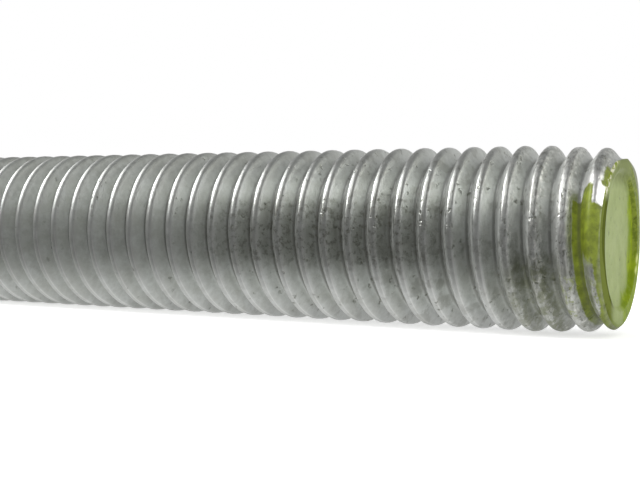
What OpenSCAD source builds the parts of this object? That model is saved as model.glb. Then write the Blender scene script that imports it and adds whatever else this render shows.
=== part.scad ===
// Threaded rod with a metric coarse thread, cut to length.
// The rod lies along X: its cupped, marked end is at x = 0 and its body runs towards -X.
// Z is up. Lengths are in mm and angles in degrees.

/* [Rod] */
// length from end to end
rod_length = 100; // [40:5:150]
// outside diameter over the crests
major_diameter = 12; // [10:0.5:16]

/* [Thread] */
// distance from one turn to the next
pitch = 1.75; // [1.25:0.25:2.5]
// angle between the two flanks of a groove
flank_angle = 60; // [50:5:70]
// share of the pitch that is flat on the crest
crest_share = 0.225; // [0.1:0.025:0.3]
// share of the pitch that is flat in the root
root_share = 0.15; // [0.1:0.025:0.3]
// where the crest runs out of the cupped end, as an angle round from the lowest line
start_angle = 13; // [0:1:359]

/* [Ends] */
// how far the chamfer reaches in towards the axis
chamfer_depth = 0.4; // [0.25:0.05:0.9]
// slope of the chamfer against the axis
chamfer_angle = 45; // [30:5:60]
// length over which the last turns taper towards the end
lead_length = 5; // [3:0.5:8]
// how much the outside diameter has lost where the taper meets the chamfer
lead_drop = 0.5; // [0.2:0.1:0.6]

/* [Cupped end] */
// width of the flat rim round the cup
rim_width = 0.9; // [0.3:0.1:1.5]
// depth of the cup's floor below the rim
cup_depth = 0.3; // [0.1:0.05:0.6]
// width of the slope between the rim and the floor
cup_slope_width = 0.3; // [0.1:0.1:1.5]

/* [Hidden] */

zinc_grey = [0.55, 0.56, 0.54];

// one turn's section, given by crest, flank, root and flank
major_radius = major_diameter / 2;
crest_flat = pitch * crest_share;
root_flat = pitch * root_share;
flank_run = (pitch - crest_flat - root_flat) / 2;
thread_depth = flank_run / tan(flank_angle / 2);
root_radius = major_radius - thread_depth;

// corners of the section: place along the axis from the crest's middle, radius,
// and the way a corner moves along its flank where the taper lowers the crest
section = [
    [-crest_flat / 2, major_radius, -1],
    [crest_flat / 2, major_radius, 1],
    [crest_flat / 2 + flank_run, root_radius, 0],
    [crest_flat / 2 + flank_run + root_flat, root_radius, 0]
];
corners = len(section);

// whole turns that the wound surface passes each end by, before the ends are cut
spare_turns = 2;
turns = ceil(rod_length / pitch) + spare_turns + 1;
rows = corners * turns;
// straight steps round one turn, fewer on a rod with many turns
strip_budget = 4900;
steps = min(32, floor(strip_budget / rows));
start_turn = start_angle / 360;

// ends
lead_radius = (major_diameter - lead_drop) / 2;
face_radius = lead_radius - chamfer_depth;
chamfer_length = chamfer_depth / tan(chamfer_angle);
cup_edge = face_radius - rim_width;
cup_floor = cup_edge - cup_slope_width;
clear_radius = major_diameter;
clear_length = pitch * (spare_turns + 2);

// How far the taper lowers a crest at a height, counted from the nearer end
function crest_drop(height) =
    let (
        inward = min(-height, height + rod_length),
        share = (lead_length - inward) / (lead_length - chamfer_length)
    )
    max(0, share * (major_radius - lead_radius));

// Place of corner i of the wound section at step j. Height 0 is the cupped end.
function wound(i, j) =
    let (
        corner = section[i % corners],
        turn = floor(i / corners) + j / steps,
        angle = 360 * j / steps,
        height = corner[0] + pitch * (turn - turns + spare_turns - start_turn),
        drop = corner[2] == 0 ? 0 : crest_drop(height),
        radius = corner[1] - drop
    )
    [
        radius * cos(angle),
        radius * sin(angle),
        height + corner[2] * drop * tan(flank_angle / 2)
    ];

// Number of that point in the list. After the last step comes the first of the next turn.
function number(i, j) =
    j < steps ? i * steps + j : (i + corners) * steps;

// The thread as one surface wound round the axis, closed at both ends by a ramp and a step
module wound_thread() {
    wall = [for (i = [0:rows]) for (j = [0:steps - 1]) wound(i, j)];
    low = len(wall);
    high = low + 1;
    low_point = [0, 0, wound(0, 0)[2]];
    high_point = [0, 0, wound(rows, steps - 1)[2]];

    strips = [
        for (i = [0:rows - 1])
            for (j = [0:steps - 1])
                if (j < steps - 1 || i < rows - corners)
                    each [
                        [number(i, j), number(i, j + 1), number(i + 1, j)],
                        [number(i + 1, j), number(i, j + 1), number(i + 1, j + 1)]
                    ]
    ];
    low_end = [
        for (j = [0:steps - 2]) [low, number(0, j + 1), number(0, j)],
        [low, number(corners, 0), number(0, steps - 1)],
        for (i = [1:corners]) [low, number(i - 1, 0), number(i, 0)]
    ];
    high_end = [
        for (j = [0:steps - 2]) [high, number(rows, j), number(rows, j + 1)],
        [high, number(rows - corners, steps - 1), number(rows, 0)],
        for (i = [1:corners])
            [high, number(rows - i + 1, steps - 1), number(rows - i, steps - 1)]
    ];

    polyhedron(
        points = concat(wall, [low_point, high_point]),
        faces = concat(strips, low_end, high_end),
        convexity = 10
    );
}

// What one end loses: all beyond its face, and the chamfer.
// The face is at height 0, and the rod stands above it.
module end_waste(cupped) {
    face = cupped
        ? [[0, cup_depth], [cup_floor, cup_depth], [cup_edge, 0], [face_radius, 0]]
        : [[0, 0], [face_radius, 0]];
    chamfer_top = (clear_radius - face_radius) / tan(chamfer_angle);

    rotate_extrude($fn = 96)
        polygon(concat(
            face,
            [
                [clear_radius, chamfer_top],
                [clear_radius, -clear_length],
                [0, -clear_length]
            ]
        ));
}

module threaded_rod() {
    color(zinc_grey)
        rotate([0, 90, 0])
            difference() {
                wound_thread();
                mirror([0, 0, 1])
                    end_waste(true);
                translate([0, 0, -rod_length])
                    end_waste(false);
            }
}

threaded_rod();
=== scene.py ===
"""Threaded rod: the worn zinc surface, the marked end, the stage, the lights and the camera."""
import math

import bmesh
import bpy
import numpy as np
from mathutils import Matrix, Vector, noise


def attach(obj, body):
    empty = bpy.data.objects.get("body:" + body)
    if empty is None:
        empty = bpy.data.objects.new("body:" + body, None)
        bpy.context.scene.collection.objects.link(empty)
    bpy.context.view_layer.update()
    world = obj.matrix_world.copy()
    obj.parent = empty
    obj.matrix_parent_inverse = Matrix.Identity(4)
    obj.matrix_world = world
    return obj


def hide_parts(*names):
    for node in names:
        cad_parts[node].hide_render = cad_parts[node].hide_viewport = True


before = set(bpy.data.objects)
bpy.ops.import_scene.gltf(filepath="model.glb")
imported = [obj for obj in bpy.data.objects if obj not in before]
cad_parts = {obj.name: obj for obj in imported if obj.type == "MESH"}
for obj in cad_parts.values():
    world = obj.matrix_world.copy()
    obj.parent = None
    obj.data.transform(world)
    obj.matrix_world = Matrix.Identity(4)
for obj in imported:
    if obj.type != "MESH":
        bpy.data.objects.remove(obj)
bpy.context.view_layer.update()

MM = 0.001

# Sizes of the rod in mm, as in the part's source
LENGTH = 100.0
RADIUS = 6.0
PITCH = 1.75
# half the angle between two flanks
HALF_FLANK = math.radians(30)
CREST = PITCH * 0.225
ROOT = PITCH * 0.15
DEPTH = (PITCH - CREST - ROOT) / 2 / math.tan(HALF_FLANK)
START_TURN = 13 / 360
FACE_RADIUS = 5.35
LEAD_RADIUS = 5.75
LEAD_LENGTH = 5.0
CHAMFER = 0.4
RIM = 0.9
CUP_EDGE = FACE_RADIUS - RIM
CUP_DEPTH = 0.3
CUP_SLOPE = 0.3

# How far the corners are rounded, in mm
CREST_ROUND = 0.24
ROOT_ROUND = 0.22
CHAMFER_ROUND = 0.12
MARKED_RIM_ROUND = 0.16
PLAIN_RIM_ROUND = 0.14
# how far each end's rounded rim falls from its face to the wall
RIM_DROP = 0.08


def soft_min(a, b, blend):
    """The smaller of two values, with the corner between them rounded over blend."""
    share = np.clip(0.5 + 0.5 * (b - a) / blend, 0.0, 1.0)
    return b * (1 - share) + a * share - blend * share * (1 - share)


def soft_max(a, b, blend):
    return -soft_min(-a, -b, blend)


def thread_radius(in_turn):
    """Radius over the section of one turn, counted in turns from the crest's middle."""
    fall = (np.abs(in_turn) * PITCH - CREST / 2) / math.tan(HALF_FLANK)
    fall = soft_max(fall, np.zeros_like(fall), CREST_ROUND)
    fall = soft_min(fall, np.full_like(fall, DEPTH), ROOT_ROUND)
    return RADIUS - np.maximum(fall, 0.0)


def chamfered(radii, inward):
    """The radius after the taper of the last turns and the chamfer, at a distance in from an end."""
    share = np.clip((LEAD_LENGTH - inward) / (LEAD_LENGTH - CHAMFER), 0, 1.1)
    height = np.clip((radii - (RADIUS - DEPTH)) / DEPTH, 0, 1)
    tapered = radii - share * (RADIUS - LEAD_RADIUS) * height
    return soft_min(tapered, FACE_RADIUS + inward, CHAMFER_ROUND)


# Rod: one surface wound round the axis, cut at both ends
STEPS = 64
SPARE = 2
# places across half of a turn's section, closest together on the crest
half_section = [0.0, 0.04, 0.08, 0.11, 0.14, 0.17, 0.22, 0.28, 0.34, 0.38, 0.42, 0.455]
offsets = np.array([-0.49] + [-place for place in half_section[:0:-1]] + half_section)
ROWS = len(offsets)
turns = math.ceil(LENGTH / PITCH) + SPARE + 1

rows = np.arange(ROWS * turns + 1)
steps = np.arange(STEPS)
in_turn = offsets[rows % ROWS]
along = (in_turn + rows // ROWS)[:, None] + steps[None, :] / STEPS - turns + SPARE - START_TURN
x = along * PITCH
angle = np.broadcast_to(2 * math.pi * steps[None, :] / STEPS, x.shape)
radius = np.broadcast_to(thread_radius(in_turn)[:, None], x.shape)
radius = chamfered(radius, -x)
radius = chamfered(radius, LENGTH + x)


def bulge(height, middle, spread):
    """A smooth rise round the rod, with its middle and spread in degrees."""
    return height * np.exp(-(((np.degrees(angle) - middle) / spread) ** 2))


# how thick the lip is at full strength, how far in it stays full, then fades, and how far the notch goes
LIP_EDGE = 0.03
LIP_FULL = 0.12
LIP_FADE = 0.36
NOTCH_REACH = 0.25
# the marked end was sheared, which left a lip on its far upper side
lip = bulge(height=0.60, middle=135, spread=18)
lip_share = np.clip(lip / LIP_EDGE, 0, 1) * (1 - np.clip((-x - LIP_FULL) / LIP_FADE, 0, 1) ** 2)
radius = radius + lip_share * np.maximum(FACE_RADIUS + lip - radius, 0)
# and a small notch beside the lip, at the top
notch = bulge(height=0.12, middle=187, spread=7)
radius = radius - notch * (1 - np.clip(-x / NOTCH_REACH, 0, 1))

# Wear of the crests: it starts at one radius, is full at another, and fades away from the marked end
WORN_FROM = 5.45
WORN_OVER = 0.4
WORN_REACH = 4.5


def worn(places, radii, angles):
    """Small nicks and uneven wear, deepest on the crests near the marked end."""
    flat = np.array(radii).ravel()
    flat_x = np.asarray(places).ravel()
    flat_angle = np.asarray(angles).ravel()
    for k in range(len(flat)):
        high = min((flat[k] - WORN_FROM) / WORN_OVER, 1.0)
        if high <= 0:
            continue
        near = math.exp(-max(-flat_x[k], 0.0) / WORN_REACH)
        across = flat[k] * math.cos(flat_angle[k]) * 0.9
        upward = flat[k] * math.sin(flat_angle[k]) * 0.9
        point = Vector((flat_x[k] * 1.6, across, upward))
        fine = noise.noise(point * 2.6)
        broad = noise.noise(point * 0.9 + Vector((7.1, 2.3, 5.9)))
        cut = 0.010 + 0.010 * broad + 0.006 * fine
        cut += near * (0.018 + 0.035 * max(fine, 0) + 0.02 * broad)
        flat[k] -= high * max(cut, 0.0)
    return flat.reshape(np.shape(radii))


radius = worn(x, radius, angle)
coords = np.stack([x, radius * np.sin(angle), -radius * np.cos(angle)], axis=-1).reshape(-1, 3) * MM


def number(row, step):
    """Number of a point in the list. After the last step comes the first of the next turn."""
    return row * STEPS + step if step < STEPS else (row + ROWS) * STEPS


faces = []
for row in range(ROWS * turns):
    for step in range(STEPS):
        if step < STEPS - 1 or row < ROWS * (turns - 1):
            first_side = (number(row, step), number(row, step + 1))
            second_side = (number(row + 1, step + 1), number(row + 1, step))
            faces.append(first_side + second_side)

mesh = bpy.data.meshes.new("rod_surface")
mesh.from_pydata([tuple(point) for point in coords], [], faces)
bm = bmesh.new()
bm.from_mesh(mesh)


def cut_at(place_x, outward):
    """Cuts off all beyond a plane across the rod."""
    bmesh.ops.bisect_plane(
        bm,
        geom=bm.verts[:] + bm.edges[:] + bm.faces[:],
        dist=1e-7,
        plane_co=Vector((place_x * MM, 0, 0)),
        plane_no=Vector((outward, 0, 0)),
        clear_inner=False,
        clear_outer=True,
    )


def cut_ring(place_x):
    """The points of the cut edge, in their order round the rod."""
    points = set()
    for edge in bm.edges:
        if edge.is_boundary and all(abs(v.co.x - place_x * MM) < 1e-6 for v in edge.verts):
            points.update(edge.verts)
    return sorted(points, key=lambda v: math.atan2(v.co.y, v.co.z))


def close_end(place_x, outward, ring_radii, depth_at):
    """Rings of faces from the cut edge to the axis."""
    ring = cut_ring(place_x)
    size = len(ring)
    angles = [math.atan2(v.co.y, v.co.z) for v in ring]
    outer = [math.hypot(v.co.y, v.co.z) / MM for v in ring]
    made = []

    def face(*points):
        made.append(bm.faces.new(points if outward > 0 else points[::-1]))

    for radius_at in ring_radii:
        fresh = []
        for k in range(size):
            y = radius_at(outer[k]) * math.sin(angles[k])
            z = radius_at(outer[k]) * math.cos(angles[k])
            fresh.append(bm.verts.new(Vector((depth_at(y, z, outer[k]), y, z)) * MM))
        for k in range(size):
            after = (k + 1) % size
            face(ring[k], ring[after], fresh[after], fresh[k])
        ring = fresh
    middle = bm.verts.new(Vector((depth_at(0.0, 0.0, FACE_RADIUS), 0, 0)) * MM)
    for k in range(size):
        face(ring[k], ring[(k + 1) % size], middle)
    return made


def step_curve(value, low, high):
    """Rises smoothly from 0 at low to 1 at high."""
    share = min(max((value - low) / (high - low), 0.0), 1.0)
    return share * share * (3 - 2 * share)


def rim_fall(y, z, edge, rounding):
    """How far a face has fallen back at a point close to its edge."""
    return RIM_DROP * max((math.hypot(y, z) - (edge - rounding)) / rounding, 0.0) ** 2


# The marked face in mm: how far all of it stays behind the end plane, and its floor's least depth and waves
FACE_INSET = 0.0005
FLOOR_INSET = 0.01
FLOOR_WAVE = 0.018


def marked_face(y, z, edge):
    """Place of the marked end: level with the rim on the near side, dished below it on the far side."""
    across = min(max((y + CUP_EDGE) / (2 * CUP_EDGE), 0.0), 1.0)
    wave = FLOOR_WAVE * (1 - noise.noise(Vector((y * 0.7, z * 0.7, 0))))
    floor_x = -CUP_DEPTH * across - FLOOR_INSET - wave
    wall = step_curve(math.hypot(y, z), CUP_EDGE - CUP_SLOPE, CUP_EDGE + 0.05)
    return min(floor_x * (1 - wall) - rim_fall(y, z, edge, MARKED_RIM_ROUND), -FACE_INSET)


def plain_face(y, z, edge):
    return -LENGTH + rim_fall(y, z, edge, PLAIN_RIM_ROUND)


def inside(gap):
    return lambda edge: edge - gap


def towards(target, share):
    return lambda edge: edge + (target - edge) * share


def fixed(radius):
    return lambda edge: radius


rim_steps = [inside(gap) for gap in (0.025, 0.06, 0.11, 0.17)]
rim_steps += [towards(CUP_EDGE + 0.12, share) for share in (0.4, 0.6, 0.8, 1.0)]
wall_steps = [fixed(CUP_EDGE - gap) for gap in (-0.06, 0.0, 0.06, 0.12, 0.18, 0.24, 0.30, 0.40)]
floor_steps = [fixed(reach) for reach in (3.7, 3.2, 2.7, 2.2, 1.7, 1.2, 0.7)]

# the wall stops short of each face, where the rounded rim takes over
cut_at(-RIM_DROP, 1)
cut_at(-LENGTH + RIM_DROP, -1)
face_polygons = close_end(-RIM_DROP, 1, rim_steps + wall_steps + floor_steps, marked_face)
close_end(-LENGTH + RIM_DROP, -1, rim_steps + floor_steps, plain_face)
for polygon in face_polygons:
    polygon.material_index = 1

bmesh.ops.recalc_face_normals(bm, faces=bm.faces[:])
bm.to_mesh(mesh)
bm.free()
for polygon in mesh.polygons:
    polygon.use_smooth = True
rod = bpy.data.objects.new("rod", mesh)
bpy.context.scene.collection.objects.link(rod)
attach(rod, "root")
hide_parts("threaded_rod")


class Nodes:
    """A short way to write a node tree."""

    def __init__(self, owner):
        owner.use_nodes = True
        self.tree = owner.node_tree
        self.tree.nodes.clear()

    def node(self, kind, **settings):
        item = self.tree.nodes.new(kind)
        for key, value in settings.items():
            setattr(item, key, value)
        return item

    def feed(self, socket, value):
        if isinstance(value, bpy.types.NodeSocket):
            self.tree.links.new(value, socket)
        else:
            socket.default_value = value

    def math(self, operation, a, b=0.0, c=0.0, clamp=False):
        item = self.node("ShaderNodeMath", operation=operation, use_clamp=clamp)
        self.feed(item.inputs[0], a)
        self.feed(item.inputs[1], b)
        self.feed(item.inputs[2], c)
        return item.outputs[0]

    def times(self, a, b):
        return self.math("MULTIPLY", a, b)

    def times_plus(self, a, b, c):
        """a times b, plus c."""
        return self.math("MULTIPLY_ADD", a, b, c)

    def plus(self, a, b):
        return self.math("ADD", a, b)

    def minus(self, a, b, clamp=False):
        return self.math("SUBTRACT", a, b, clamp=clamp)

    def larger(self, a, b, clamp=False):
        return self.math("MAXIMUM", a, b, clamp=clamp)

    def apart(self, a, b):
        """How far a is from b."""
        return self.math("ABSOLUTE", self.minus(a, b))

    def ramp(self, value, low, high, out_low=0.0, out_high=1.0):
        item = self.node("ShaderNodeMapRange", interpolation_type="SMOOTHSTEP", clamp=True)
        self.feed(item.inputs["Value"], value)
        self.feed(item.inputs["From Min"], low)
        self.feed(item.inputs["From Max"], high)
        self.feed(item.inputs["To Min"], out_low)
        self.feed(item.inputs["To Max"], out_high)
        return item.outputs["Result"]

    def mix(self, factor, a, b):
        """A colour between a and b."""
        item = self.node("ShaderNodeMix", data_type="RGBA")
        self.feed(item.inputs[0], factor)
        self.feed(item.inputs[6], a)
        self.feed(item.inputs[7], b)
        return item.outputs[2]

    def blend(self, factor, a, b):
        """A number between a and b."""
        item = self.node("ShaderNodeMix", data_type="FLOAT")
        self.feed(item.inputs[0], factor)
        self.feed(item.inputs[2], a)
        self.feed(item.inputs[3], b)
        return item.outputs[0]

    def noise(self, vector, scale, detail, roughness, distortion=0.0):
        item = self.node("ShaderNodeTexNoise")
        self.feed(item.inputs["Vector"], vector)
        self.feed(item.inputs["Scale"], scale)
        self.feed(item.inputs["Detail"], detail)
        self.feed(item.inputs["Roughness"], roughness)
        self.feed(item.inputs["Distortion"], distortion)
        return item.outputs["Fac"]

    def scaled(self, vector, scale):
        item = self.node("ShaderNodeVectorMath", operation="MULTIPLY")
        self.feed(item.inputs[0], vector)
        self.feed(item.inputs[1], scale)
        return item.outputs[0]

    def place(self):
        """The place of a point in the object, in metres."""
        return self.node("ShaderNodeTexCoord").outputs["Object"]

    def split(self, vector):
        item = self.node("ShaderNodeSeparateXYZ")
        self.feed(item.inputs[0], vector)
        return item.outputs

    def finish(self, surface, kind="ShaderNodeOutputMaterial"):
        self.feed(self.node(kind).inputs["Surface"], surface)

    def finish_glow(self, level):
        light = self.node("ShaderNodeEmission")
        self.feed(light.inputs["Strength"], level)
        self.finish(light.outputs[0])


# Colours of the zinc, of the wear and dirt on it, and of the shade, highlights and reflections painted on
# it
ZINC_DARK = (0.47, 0.485, 0.462, 1)
ZINC_LIGHT = (0.585, 0.605, 0.585, 1)
ZINC_CLOUD = (0.415, 0.425, 0.385, 1)
CREST_GREY = (0.62, 0.625, 0.61, 1)
FLANK_REFLECTION = (0.84, 0.86, 0.83, 1)
ROOT_SHADE = (0.15, 0.155, 0.135, 1)
EDGE_GLINT = (0.92, 0.92, 0.90, 1)
STAIN = (0.27, 0.275, 0.245, 1)
MID_SHADE = (0.20, 0.205, 0.175, 1)
RUBBED = (0.82, 0.83, 0.80, 1)
WORN_LIGHT = (0.80, 0.80, 0.76, 1)
WORN_DARK = (0.16, 0.16, 0.125, 1)
SCUFF = (0.24, 0.24, 0.22, 1)
PIT = (0.11, 0.115, 0.08, 1)
LOW_FRONT_DARK = (0.20, 0.215, 0.14, 1)
BURNISH_AND_HIGHLIGHT = (0.90, 0.90, 0.88, 1)
# Colours of the paint, round the thread and on the end face, with shade, reflection and highlights painted
# on it
PAINT_DARK = (0.145, 0.177, 0.021, 1)
PAINT_LIGHT = (0.250, 0.310, 0.030, 1)
PAINT_WORN = (0.075, 0.090, 0.018, 1)
PAINT_GROOVE_SHADE = (0.078, 0.090, 0.022, 1)
PAINT_PIT = (0.075, 0.082, 0.020, 1)
FACE_PALE_SHEEN = (0.320, 0.395, 0.108, 1)
FACE_DEEP_SHEEN = (0.262, 0.336, 0.072, 1)
FACE_WORN = (0.16, 0.20, 0.06, 1)
LIME_DARK = (0.205, 0.288, 0.010, 1)
LIME_LIGHT = (0.305, 0.405, 0.014, 1)
OLIVE_SHADE = (0.150, 0.185, 0.030, 1)
WALL_SHADE_DARK = (0.145, 0.186, 0.026, 1)
WALL_SHADE_LIGHT = (0.250, 0.302, 0.045, 1)
NEAR_RIM = (0.185, 0.222, 0.050, 1)
RIM_LINE = (0.098, 0.120, 0.022, 1)
SCRAPED_PAINT = (0.235, 0.300, 0.018, 1)
SCRAPED_METAL = (0.78, 0.76, 0.58, 1)
RIM_EDGE = (0.30, 0.32, 0.24, 1)
PAINTED_HIGHLIGHT = (0.78, 0.84, 0.30, 1)


class RodNet(Nodes):
    """A node tree with the places and patterns that the coats of the rod share."""

    def __init__(self, owner):
        super().__init__(owner)
        self.mm = self.scaled(self.place(), (1000.0, 1000.0, 1000.0))
        self.x, self.y, self.z = self.split(self.mm)
        self.inward = self.times(self.x, -1.0)
        self.radius = self.math("SQRT", self.plus(self.times(self.y, self.y), self.times(self.z, self.z)))
        # angle round the rod in turns: 0 at the bottom, minus on the camera's side
        round_axis = self.math("ARCTAN2", self.y, self.times(self.z, -1.0))
        self.turn = self.math("DIVIDE", round_axis, 2 * math.pi)
        self.side = self.math("ABSOLUTE", self.turn)
        # place along the thread in turns, 0 on the last crest and -1 on the one before
        self.along = self.plus(self.minus(self.math("DIVIDE", self.x, PITCH), self.turn), START_TURN)
        # place across one turn's section, 0 on the crest and plus on the flank towards the marked end
        self.signed = self.math("WRAP", self.along, 0.5, -0.5)
        self.section = self.math("ABSOLUTE", self.signed)

        self.mottle = self.noise(self.mm, 2.4, 4.0, 0.65)
        self.grain = self.noise(self.mm, 7.0, 3.0, 0.6)
        self.streak = self.noise(self.scaled(self.mm, (6.0, 1.1, 1.1)), 1.0, 3.0, 0.6)
        self.wear = self.noise(self.scaled(self.mm, (1.25, 0.85, 0.85)), 3.0, 5.0, 0.74)
        self.wander = self.minus(self.noise(self.mm, 0.9, 3.0, 0.6), 0.5)
        self.ragged = self.minus(self.noise(self.mm, 3.2, 3.0, 0.65), 0.5)
        # wear close to the marked end, most of it on the crests
        near_end = self.ramp(self.inward, 3.0, 9.0, 1.0, 0.0)
        on_crest = self.ramp(self.section, 0.36, 0.20)
        self.worn_here = self.times(near_end, self.times_plus(on_crest, 0.8, 0.2))
        self.pit = self.pits()

    def pits(self):
        """Small dark pits, more of them near the marked end."""
        jitter = self.node("ShaderNodeTexNoise")
        self.feed(jitter.inputs["Vector"], self.mm)
        self.feed(jitter.inputs["Scale"], 3.0)
        shift = self.node("ShaderNodeVectorMath", operation="MULTIPLY_ADD")
        self.feed(shift.inputs[0], jitter.outputs["Color"])
        self.feed(shift.inputs[1], (0.5, 0.5, 0.5))
        self.feed(shift.inputs[2], self.scaled(self.mm, (1.0, 0.7, 0.7)))
        cells = self.node("ShaderNodeTexVoronoi", feature="F1")
        self.feed(cells.inputs["Vector"], shift.outputs[0])
        self.feed(cells.inputs["Scale"], 2.4)
        often = self.minus(self.noise(self.mm, 0.9, 2.0, 0.5), self.ramp(self.inward, 3.0, 45.0, 0.0, 0.14))
        hole = self.ramp(cells.outputs["Distance"], 0.10, 0.32, 1.0, 0.0)
        return self.times(hole, self.ramp(often, 0.42, 0.60))

    def moved(self, value, noise_value, share):
        """A value pushed to and fro by a noise, so that what ends there has an uneven edge."""
        return self.times_plus(noise_value, share, value)


def zinc_coat(net):
    """Colour, metallic share and roughness of the mottled, stained and worn zinc, with painted shade,
    highlights and reflections.
    """
    side = net.side
    inward = net.inward
    # 1 on the thread and 0 on the plain end
    wound = net.ramp(inward, LENGTH - 0.02, LENGTH - 0.08)
    uneven = net.minus(net.mottle, 0.5)
    cloud = net.noise(net.mm, 0.55, 2.0, 0.5)
    colour = net.mix(net.ramp(net.mottle, 0.28, 0.72), ZINC_DARK, ZINC_LIGHT)
    colour = net.mix(net.ramp(cloud, 0.35, 0.7, 0.0, 0.35), colour, ZINC_CLOUD)
    crest = net.times(net.ramp(net.moved(net.section, uneven, 0.10), 0.17, 0.10), wound)
    colour = net.mix(net.times(crest, 0.20), colour, CREST_GREY)
    # the flank that faces away from the marked end is painted lighter, a painted reflection on it
    flank_reflection = net.times(net.ramp(net.signed, -0.08, -0.18), net.ramp(net.signed, -0.47, -0.43))
    flank_reflection = net.times(flank_reflection, wound)
    colour = net.mix(net.times(flank_reflection, 0.85), colour, FLANK_REFLECTION)
    # painted shade in the root, less of it on the upper side
    rough_signed = net.moved(net.signed, uneven, 0.05)
    root = net.larger(net.ramp(rough_signed, 0.41, 0.47), net.ramp(rough_signed, -0.462, -0.49))
    root = net.times(root, net.ramp(side, 0.31, 0.37, 1.0, 0.25))
    root = net.times(root, wound)
    colour = net.mix(net.times(root, 0.62), colour, ROOT_SHADE)
    # painted highlight: a thin bright line along the edge of each crest, on the lower half
    lower_half = net.times(net.ramp(side, 0.27, 0.22), wound)
    painted_glint = net.ramp(net.apart(net.section, 0.100), 0.026, 0.008, 0.0, 0.25)
    colour = net.mix(net.times(painted_glint, lower_half), colour, EDGE_GLINT)
    # dull stains, fewer of them more than 22 mm in
    stain_noise = net.noise(net.scaled(net.mm, (1.0, 0.8, 0.8)), 1.05, 4.0, 0.68)
    stain = net.times(net.ramp(stain_noise, 0.50, 0.62, 0.0, 0.42), net.ramp(inward, 11.0, 22.0, 1.0, 0.35))
    colour = net.mix(stain, colour, STAIN)
    # painted shade: speckled darkening at mid height, from 6 to 32 mm in
    mid_shade = net.times(net.ramp(inward, 6.0, 13.0), net.ramp(inward, 32.0, 22.0))
    mid_shade = net.times(mid_shade, net.times(net.ramp(side, 0.345, 0.305), net.ramp(side, 0.17, 0.215)))
    mid_speckle = net.ramp(net.noise(net.mm, 2.5, 5.0, 0.76), 0.49, 0.61, 0.24, 0.82)
    colour = net.mix(net.times(mid_shade, mid_speckle), colour, MID_SHADE)
    # the crest before the last one is rubbed bright
    second = net.ramp(net.apart(net.along, -1.06), 0.32, 0.20, 0.0, 0.5)
    colour = net.mix(second, colour, RUBBED)
    # bright and dark wear near the marked end
    worn_bright = net.times(net.ramp(net.wear, 0.52, 0.62, 0.0, 0.9), net.worn_here)
    colour = net.mix(worn_bright, colour, WORN_LIGHT)
    worn_dull = net.times(net.ramp(net.wear, 0.45, 0.36, 0.0, 0.75), net.worn_here)
    colour = net.mix(worn_dull, colour, WORN_DARK)
    scuff = net.times(net.ramp(net.streak, 0.44, 0.60), net.worn_here)
    colour = net.mix(net.times(scuff, 0.40), colour, SCUFF)
    colour = net.mix(net.times(net.pit, 0.62), colour, PIT)
    # darker with noise, low on the front of the last crests
    low_front_dark = net.times(net.ramp(inward, 7.5, 4.0), net.ramp(side, 0.235, 0.19))
    low_front_dark = net.times(low_front_dark, net.ramp(net.turn, 0.02, -0.02))
    low_front_dark = net.times(low_front_dark, net.ramp(net.noise(net.mm, 1.6, 4.0, 0.7), 0.40, 0.58, 0.25, 0.80))
    low_front_dark = net.times(low_front_dark, net.ramp(inward, 2.2, 3.6, 0.50, 1.0))
    colour = net.mix(low_front_dark, colour, LOW_FRONT_DARK)
    # burnished patch on the upper part of the last crest, painted near white where the lamp's highlight
    # falls: real wear and a painted highlight
    burnish_and_highlight = net.times(net.ramp(side, 0.306, 0.320), net.ramp(side, 0.385, 0.365))
    burnish_and_highlight = net.times(burnish_and_highlight, net.ramp(inward, 1.5, 1.1))
    colour = net.mix(net.times(burnish_and_highlight, 0.90), colour, BURNISH_AND_HIGHLIGHT)

    # the flank with the painted reflection is also less metallic, so it takes some plain light
    metallic = net.times_plus(flank_reflection, -0.24, 1.0)
    roughness = net.times_plus(net.mottle, 0.20, 0.31)
    roughness = net.times_plus(crest, -0.07, roughness)
    roughness = net.times_plus(net.worn_here, 0.06, roughness)
    roughness = net.plus(roughness, net.ramp(inward, 18.0, 45.0, 0.0, 0.14))
    roughness = net.times_plus(root, 0.10, roughness)
    roughness = net.times_plus(burnish_and_highlight, -0.05, roughness)
    return colour, metallic, roughness


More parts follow.
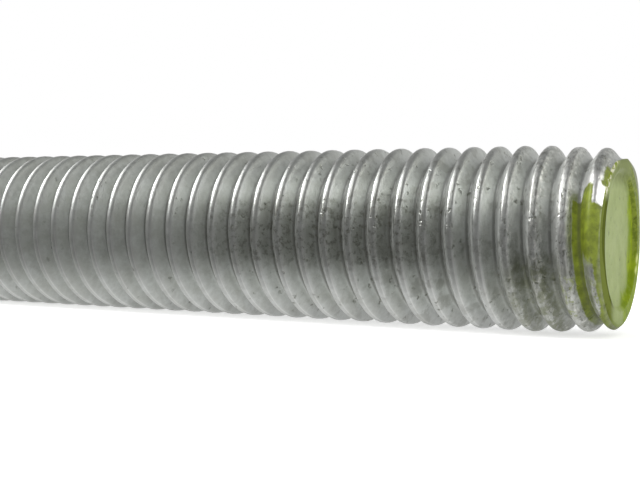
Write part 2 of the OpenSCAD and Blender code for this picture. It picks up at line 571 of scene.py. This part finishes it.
def paint_cover(net):
    """How far the dabbed and rubbed paint covers the end and the last turn."""
    side = net.side
    inward = net.inward
    along = net.along
    rough_edge = net.times_plus(net.ragged, 0.5, net.times(net.wander, 0.7))
    cover = net.ramp(net.moved(along, rough_edge, 0.10), -0.735, -0.69)
    # upper limit: lower in the groove than on the last crest
    limit = net.moved(net.ramp(along, -0.46, -0.36, 0.322, 0.352), rough_edge, 0.030)
    cover = net.times(cover, net.ramp(net.minus(side, limit), -0.004, 0.004, 1.0, 0.0))
    cover = net.larger(cover, net.times(net.ramp(inward, 0.40, 0.30), net.ramp(side, 0.42, 0.41)))
    # bare patch on the upper part of the last crest, less a dab close to the end
    bare = net.times(
        net.ramp(net.moved(along, net.ragged, 0.08), -0.03, 0.01),
        net.ramp(net.moved(side, rough_edge, 0.020), 0.309, 0.315),
    )
    dab = net.times(net.ramp(net.moved(inward, net.ragged, 0.25), 0.34, 0.24), net.ramp(side, 0.348, 0.356))
    dab = net.times(dab, net.ramp(net.moved(side, net.ragged, 0.04), 0.410, 0.400))
    bare = net.minus(bare, dab, clamp=True)
    # bare crest on the lower part
    low = net.ramp(net.moved(side, rough_edge, 0.05), 0.224, 0.198)
    band_edge = net.plus(net.ramp(side, 0.13, 0.08, 0.0, 0.24), net.moved(along, rough_edge, 0.22))
    band = net.times(
        net.ramp(net.moved(along, rough_edge, 0.12), -0.44, -0.40),
        net.ramp(band_edge, 0.03, -0.04),
    )
    bare = net.larger(bare, net.times(low, band))
    # thin paint on the corner where the chamfer starts, and at the foot
    corner_reach = net.ramp(side, 0.26, 0.18, 0.18, 0.36)
    corner = net.ramp(net.moved(inward, net.wander, 0.12), corner_reach, 0.08)
    corner = net.times(corner, net.ramp(net.moved(side, net.ragged, 0.04), 0.335, 0.32))
    bare = net.larger(bare, net.times(corner, 0.28))
    foot = net.ramp(net.moved(side, rough_edge, 0.12), 0.080, 0.045, 0.0, 0.30)
    bare = net.larger(bare, net.times(foot, net.ramp(inward, 0.25, 0.40)))
    cover = net.times(cover, net.minus(1.0, bare))
    # thin smears on the crest before
    smear = net.ramp(net.noise(net.mm, 2.6, 3.0, 0.62, 0.3), 0.50, 0.60)
    smear = net.times(smear, net.ramp(along, -1.26, -1.16))
    smear = net.times(smear, net.times(net.ramp(side, 0.195, 0.18), net.ramp(side, 0.09, 0.105)))
    return net.larger(cover, net.times(smear, 0.55), clamp=True)


def thread_paint(net):
    """Colour of the paint on the thread and the chamfer."""
    patchy = net.noise(net.mm, 1.3, 4.0, 0.68)
    tone = net.mix(net.ramp(patchy, 0.34, 0.68), PAINT_DARK, PAINT_LIGHT)
    tone = net.mix(net.ramp(net.wear, 0.42, 0.34, 0.0, 0.5), tone, PAINT_WORN)
    # the paint in the groove is darker: painted shade
    return net.mix(net.times(net.ramp(net.section, 0.40, 0.48), 0.6), tone, PAINT_GROOVE_SHADE)


def face_paint(net):
    """Colour and sheen of the end face: pale where flat, with a painted reflection, lime beyond, olive
    round its sides, mostly painted shade.
    """
    wander = net.wander
    ragged = net.ragged
    far_side = net.ramp(net.y, 1.0, 2.6)
    # pale: the lime paint with a painted reflection of the bright back on it
    pale = net.mix(net.ramp(net.noise(net.mm, 0.8, 3.0, 0.6), 0.3, 0.72), FACE_PALE_SHEEN, FACE_DEEP_SHEEN)
    pale = net.mix(net.ramp(net.wear, 0.42, 0.35, 0.0, 0.4), pale, FACE_WORN)
    lime = net.mix(net.ramp(wander, -0.12, 0.14), LIME_DARK, LIME_LIGHT)
    beyond = net.ramp(net.moved(net.y, wander, 1.8), 2.3, 3.0)
    lower = net.ramp(net.moved(net.z, wander, 2.5), -2.9, -3.7)
    lower = net.times(lower, net.ramp(net.y, 0.0, 1.2))
    lime_zone = net.larger(beyond, lower)
    tone = net.mix(lime_zone, pale, lime)
    # painted shade: the top of the face is olive
    top_shade = net.ramp(net.moved(net.z, wander, 2.0), 2.9, 4.2, 0.0, 0.85)
    tone = net.mix(top_shade, tone, OLIVE_SHADE)
    # the far wall of the cup, in painted shade, darker above
    wall = net.ramp(net.moved(net.radius, ragged, 0.15), CUP_EDGE - 0.30, CUP_EDGE - 0.20)
    wall = net.times(wall, far_side)
    above = net.ramp(net.moved(net.z, wander, 2.0), -1.6, -0.4)
    wall_shade = net.mix(net.ramp(ragged, -0.08, 0.10), WALL_SHADE_DARK, WALL_SHADE_LIGHT)
    tone = net.mix(net.times(wall, net.times_plus(above, 0.80, 0.10)), tone, wall_shade)
    # the near rim: a dark line beside the pale face, widest at mid height, and worn paint outside it
    near_side = net.times(net.ramp(net.y, -1.4, -2.8), net.ramp(net.z, 3.2, 2.2))
    near_rim = net.times(net.ramp(net.radius, CUP_EDGE - 0.07, CUP_EDGE + 0.07), near_side)
    tone = net.mix(near_rim, tone, NEAR_RIM)
    line_width = net.ramp(net.apart(net.z, 0.6), 0.4, 3.6, 0.75, 0.22)
    line_end = net.moved(net.plus(line_width, CUP_EDGE), wander, 0.25)
    line = net.times(near_rim, net.ramp(net.minus(net.radius, line_end), 0.06, -0.10))
    tone = net.mix(net.times(line, 0.9), tone, RIM_LINE)
    # the rim is scraped at the upper near side
    scraped = net.times(net.ramp(net.radius, 4.70, 4.95), net.ramp(net.y, -0.6, -1.6))
    scraped = net.times(scraped, net.ramp(net.z, 2.4, 3.0))
    flecks = net.mix(net.ramp(ragged, -0.02, 0.07), SCRAPED_PAINT, SCRAPED_METAL)
    tone = net.mix(net.times(scraped, 0.9), tone, flecks)
    outer_edge = net.times(net.ramp(net.radius, 5.22, 5.34), net.ramp(net.y, 0.0, 2.5))
    tone = net.mix(net.times(outer_edge, 0.8), tone, RIM_EDGE)
    # two painted highlights on the far rim
    highlight_ring = net.times(net.ramp(net.apart(net.radius, 4.62), 0.26, 0.10), far_side)
    for spot_z, spot_length in ((-1.20, 0.42), (-1.98, 0.34)):
        away = net.apart(net.moved(net.z, ragged, 0.4), spot_z)
        highlight = net.times(net.ramp(away, spot_length, 0.05), highlight_ring)
        tone = net.mix(net.times(highlight, 0.8), tone, PAINTED_HIGHLIGHT)

    matt = net.larger(net.times(lime_zone, 0.75), net.times(wall, 0.85))
    matt = net.larger(matt, near_rim)
    matt = net.larger(matt, net.times(top_shade, 0.7))
    sheen = net.times(net.minus(1.0, matt, clamp=True), net.ramp(net.z, -4.5, 1.5, 0.09, 0.25))
    return tone, sheen


def rod_material(name, on_face):
    """A material of the rod: paint alone on the end face, and elsewhere zinc partly under paint."""
    material = bpy.data.materials.new(name)
    net = RodNet(material)
    paint_roughness = net.times_plus(net.grain, 0.16, 0.34)
    shader = net.node("ShaderNodeBsdfPrincipled")
    if on_face:
        tone, sheen = face_paint(net)
        colour = net.mix(net.times(net.pit, 0.5), tone, PAINT_PIT)
        metallic = 0.0
        roughness = paint_roughness
    else:
        paint = paint_cover(net)
        sheen = 0.30
        zinc, zinc_metallic, zinc_roughness = zinc_coat(net)
        tone = net.mix(net.times(net.pit, 0.5), thread_paint(net), PAINT_PIT)
        colour = net.mix(paint, zinc, tone)
        metallic = net.times(zinc_metallic, net.minus(1.0, paint))
        roughness = net.blend(paint, zinc_roughness, paint_roughness)
    net.feed(shader.inputs["Base Color"], colour)
    net.feed(shader.inputs["Metallic"], metallic)
    net.feed(shader.inputs["Roughness"], roughness)
    net.feed(shader.inputs["Specular IOR Level"], sheen)

    height = net.plus(net.times(net.mottle, 0.8), net.times(net.grain, 0.45))
    height = net.times_plus(net.times(net.plus(net.streak, net.wear), net.worn_here), 0.9, height)
    height = net.times_plus(net.pit, -1.4, height)
    if not on_face:
        # the paint stands up at its edges
        height = net.times_plus(paint, 0.7, height)
    bump = net.node("ShaderNodeBump")
    net.feed(bump.inputs["Strength"], 0.6)
    net.feed(bump.inputs["Distance"], 0.03 * MM)
    net.feed(bump.inputs["Height"], height)
    net.feed(shader.inputs["Normal"], bump.outputs[0])
    net.finish(shader.outputs[0])
    return material


rod.data.materials.append(rod_material("zinc_plated_steel", on_face=False))
rod.data.materials.append(rod_material("painted_end", on_face=True))


def seen_directly(net):
    """1 for what the camera sees, straight or by way of a shiny or clear surface, and else 0."""
    rays = net.node("ShaderNodeLightPath")
    seen = net.larger(rays.outputs["Is Camera Ray"], rays.outputs["Is Glossy Ray"])
    return net.larger(seen, rays.outputs["Is Transmission Ray"])


def floor_material():
    material = bpy.data.materials.new("floor_white")
    net = Nodes(material)
    diffuse = net.node("ShaderNodeBsdfDiffuse")
    diffuse.inputs["Color"].default_value = (0.86, 0.86, 0.86, 1)
    light = net.node("ShaderNodeEmission")
    light.inputs["Color"].default_value = (1, 1, 1, 1)
    light.inputs["Strength"].default_value = 0.55
    black = net.node("ShaderNodeEmission")
    black.inputs["Strength"].default_value = 0.0
    pick = net.node("ShaderNodeMixShader")
    net.feed(pick.inputs[0], seen_directly(net))
    net.feed(pick.inputs[1], black.outputs[0])
    net.feed(pick.inputs[2], light.outputs[0])
    both = net.node("ShaderNodeAddShader")
    net.feed(both.inputs[0], diffuse.outputs[0])
    net.feed(both.inputs[1], pick.outputs[0])
    net.finish(both.outputs[0])
    return material


def stage_piece(name, points, polygons, material):
    data = bpy.data.meshes.new(name)
    data.from_pydata(points, [], polygons)
    item = bpy.data.objects.new(name, data)
    item.data.materials.append(material)
    bpy.context.scene.collection.objects.link(item)
    return item


def rectangle(low_x, high_x, low_y, high_y, z):
    """Corners of a level rectangle."""
    return [(low_x, low_y, z), (high_x, low_y, z), (high_x, high_y, z), (low_x, high_y, z)]


# Stage: a white table under the rod, bright to the camera and in reflections
FLOOR_Z = -RADIUS * MM
FLOOR_REACH = 3.0
floor_corners = rectangle(-FLOOR_REACH, FLOOR_REACH, -FLOOR_REACH, FLOOR_REACH, FLOOR_Z)
stage_piece("floor", floor_corners, [(0, 1, 2, 3)], floor_material())

# World: white to the camera and in reflections, a plain soft light for the rest
world = bpy.data.worlds.new("studio")
bpy.context.scene.world = world
world_net = Nodes(world)
background = world_net.node("ShaderNodeBackground")
background.inputs["Color"].default_value = (1, 1, 1, 1)
world_level = world_net.ramp(seen_directly(world_net), 0.0, 1.0, 0.70, 1.0)
world_net.feed(background.inputs["Strength"], world_level)
world_net.finish(background.outputs[0], "ShaderNodeOutputWorld")


def lamp(name, place, target, size, power, colour=(1.0, 1.0, 1.0)):
    data = bpy.data.lights.new(name, "AREA")
    data.shape = "RECTANGLE"
    data.size = size[0]
    data.size_y = size[1]
    data.energy = power
    data.color = colour
    item = bpy.data.objects.new(name, data)
    item.location = place
    item.rotation_euler = (Vector(target) - Vector(place)).to_track_quat("-Z", "Y").to_euler()
    bpy.context.scene.collection.objects.link(item)


lamp("softbox", (-0.18, -0.112, 0.356), (-0.07, 0, 0), (0.53, 0.085), power=0.35)
lamp("softbox_left", (-0.42, -0.112, 0.330), (-0.07, 0, 0), (0.32, 0.11), power=1.70)
lamp("side_glow", (0.27, 0.125, 0.150), (-0.04, 0, 0), (0.12, 0.12), power=0.155, colour=(1.0, 1.0, 0.90))


def only_reflected(item):
    """Hides a stage piece from all but reflections."""
    item.visible_camera = False
    item.visible_diffuse = False
    item.visible_shadow = False
    item.visible_transmission = False
    item.visible_volume_scatter = False


# Room: a dim half sphere that is white behind the rod
ROOM = 0.7
RINGS = 12
SIDES = 32
# the way from the rod to a glow that the flanks far from the marked end reflect
GLOW_WAY = (0.862, 0.030, 0.506)


def room_material():
    material = bpy.data.materials.new("room_grey")
    net = Nodes(material)
    way = net.scaled(net.place(), (1 / ROOM, 1 / ROOM, 1 / ROOM))
    back_way, height = net.split(way)[1:]
    level = net.ramp(height, 0.0, 0.6, 0.175, 0.32)
    level = net.larger(level, net.ramp(back_way, 0.55, 0.92, 0.0, 0.85))
    from_glow = net.node("ShaderNodeVectorMath", operation="DISTANCE")
    net.feed(from_glow.inputs[0], way)
    net.feed(from_glow.inputs[1], GLOW_WAY)
    level = net.plus(level, net.ramp(from_glow.outputs["Value"], 0.30, 0.10, 0.0, 3.0))
    net.finish_glow(level)
    return material


room_points = []
room_quads = []
for ring in range(RINGS + 1):
    rise = math.pi / 2 * ring / RINGS
    for k in range(SIDES):
        way_round = 2 * math.pi * k / SIDES
        out = ROOM * math.cos(rise)
        up = ROOM * math.sin(rise)
        room_points.append((out * math.cos(way_round), out * math.sin(way_round), up))
for ring in range(RINGS):
    for k in range(SIDES):
        after = (k + 1) % SIDES
        low = ring * SIDES
        high = low + SIDES
        room_quads.append((low + k, low + after, high + after, high + k))
only_reflected(stage_piece("room", room_points, room_quads, room_material()))

# Grey card on the table, palest close in front of the rod, dimmer under it and farther away.
# Distances in front of the axis, in mm: where it starts to fade, how fast it fades, where it ends.
PALE_AT = 5.0
FADE_LENGTH = 3.0
CARD_END = -6.0


def card_material():
    material = bpy.data.materials.new("card_grey")
    net = Nodes(material)
    card_x, card_y = net.split(net.place())[:2]
    front = net.times(card_y, -1.0 / MM)
    away = net.larger(net.minus(front, PALE_AT), 0.0)
    fade = net.math("EXPONENT", net.times(away, -1.0 / FADE_LENGTH))
    level = net.times_plus(fade, 0.68, 0.21)
    level = net.times(level, net.ramp(front, 1.0, 2.4, 0.70, 1.0))
    level = net.plus(level, net.ramp(card_x, 0.0, 0.02, 0.0, 0.20))
    net.finish_glow(level)
    return material


card_corners = rectangle(-0.6, 0.6, -0.5, -CARD_END * MM, FLOOR_Z + 0.02 * MM)
only_reflected(stage_piece("card", card_corners, [(0, 1, 2, 3)], card_material()))

# Camera, fitted to the outline and the crest lines
PHOTO_WIDTH = 640
PHOTO_HEIGHT = 480
SENSOR = 36.0
FOCAL_PX = 1114.64
# the middle of the marked end in the picture, and how far away it is, in outside radii
END_PX = (622.119, 240.045)
END_DISTANCE = 11.5879
# how the rod's axis lies, in radians: tipped out of the picture's plane, and turned within it
AXIS_TIP = 0.4845
AXIS_TURN = 0.0205
inward_dir = Vector(
    (
        -math.cos(AXIS_TIP) * math.cos(AXIS_TURN),
        -math.cos(AXIS_TIP) * math.sin(AXIS_TURN),
        math.sin(AXIS_TIP),
    )
)
up_dir = Vector((0, -1, 0)) - Vector((0, -1, 0)).dot(inward_dir) * inward_dir
up_dir.normalize()
away_dir = inward_dir.cross(up_dir)
end_place = Vector(
    (
        (END_PX[0] - PHOTO_WIDTH / 2) * END_DISTANCE / FOCAL_PX,
        (END_PX[1] - PHOTO_HEIGHT / 2) * END_DISTANCE / FOCAL_PX,
        END_DISTANCE,
    )
)


def to_frame(seen):
    """A direction seen by the camera (right, down, ahead) in the rod's own frame."""
    return Vector((-seen.dot(inward_dir), seen.dot(away_dir), seen.dot(up_dir)))


right = to_frame(Vector((1, 0, 0)))
above = to_frame(Vector((0, -1, 0)))
back = to_frame(Vector((0, 0, -1)))
eye = to_frame(-end_place) * RADIUS * MM
camera_data = bpy.data.cameras.new("camera")
camera_data.sensor_width = SENSOR
camera_data.lens = FOCAL_PX / PHOTO_WIDTH * SENSOR
camera_data.clip_start = 0.005
camera_data.clip_end = 20.0
camera = bpy.data.objects.new("camera", camera_data)
camera.matrix_world = Matrix(
    (
        (right.x, above.x, back.x, eye.x),
        (right.y, above.y, back.y, eye.y),
        (right.z, above.z, back.z, eye.z),
        (0, 0, 0, 1),
    )
)
bpy.context.scene.collection.objects.link(camera)
bpy.context.scene.camera = camera

bpy.context.scene.view_settings.view_transform = "Standard"
